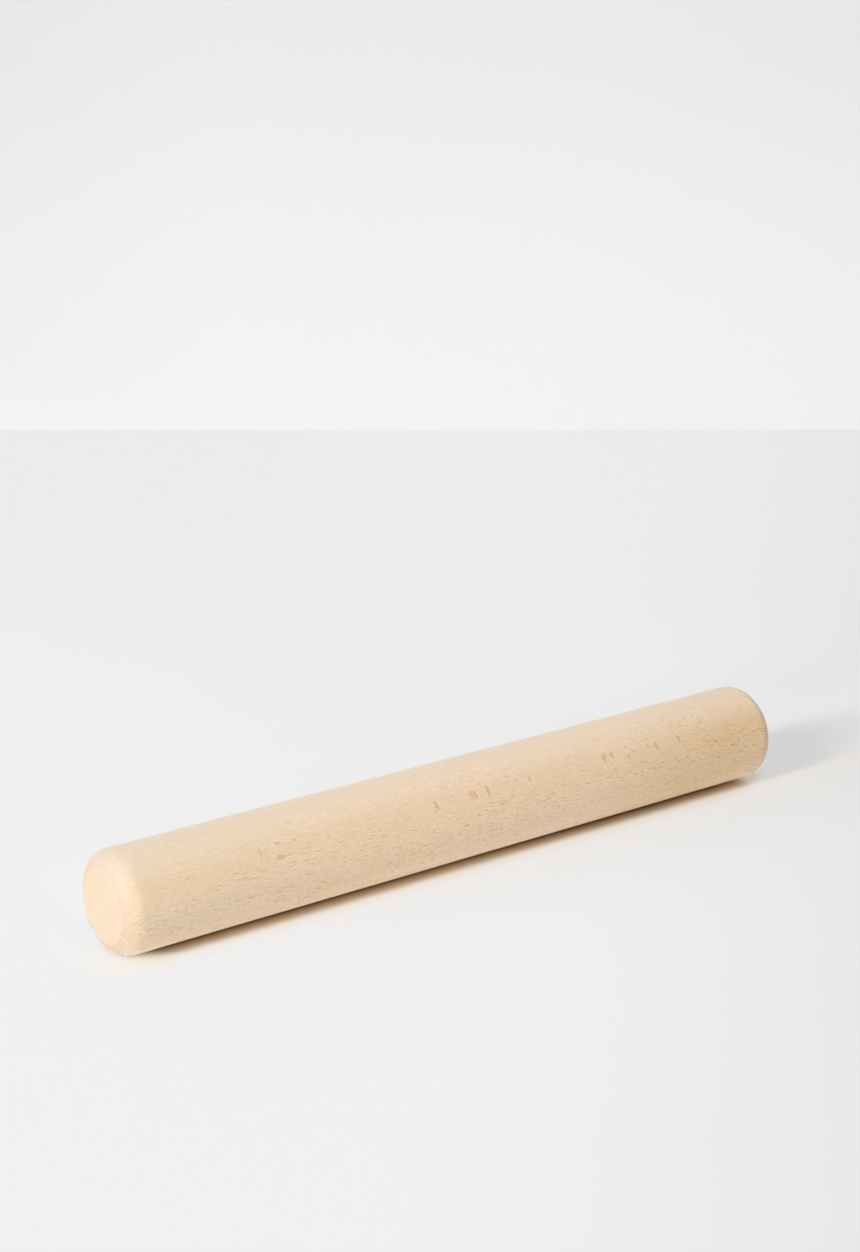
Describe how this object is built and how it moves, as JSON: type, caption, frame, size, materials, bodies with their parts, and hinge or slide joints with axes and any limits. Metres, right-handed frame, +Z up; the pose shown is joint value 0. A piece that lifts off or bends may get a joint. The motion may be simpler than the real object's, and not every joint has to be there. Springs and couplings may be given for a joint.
{
  "type": "french rolling pin",
  "caption": "Straight French rolling pin: one turned stick of pale beech with flat ends and softly rounded end edges, rolled under the palms to flatten dough.",
  "frame": {"origin": "on the worktop, under the middle of the pin's length, where the barrel touches it", "axes": "+X along the pin, level with its turning axis, which lies 25 mm above the origin; +Y across the pin; +Z up from the worktop"},
  "size_m": [0.39, 0.05, 0.05],
  "materials": {
    "beech": "matte"
  },
  "bodies": {
    "root": {"rolling_pin": "beech"}
  },
  "joints": []
}
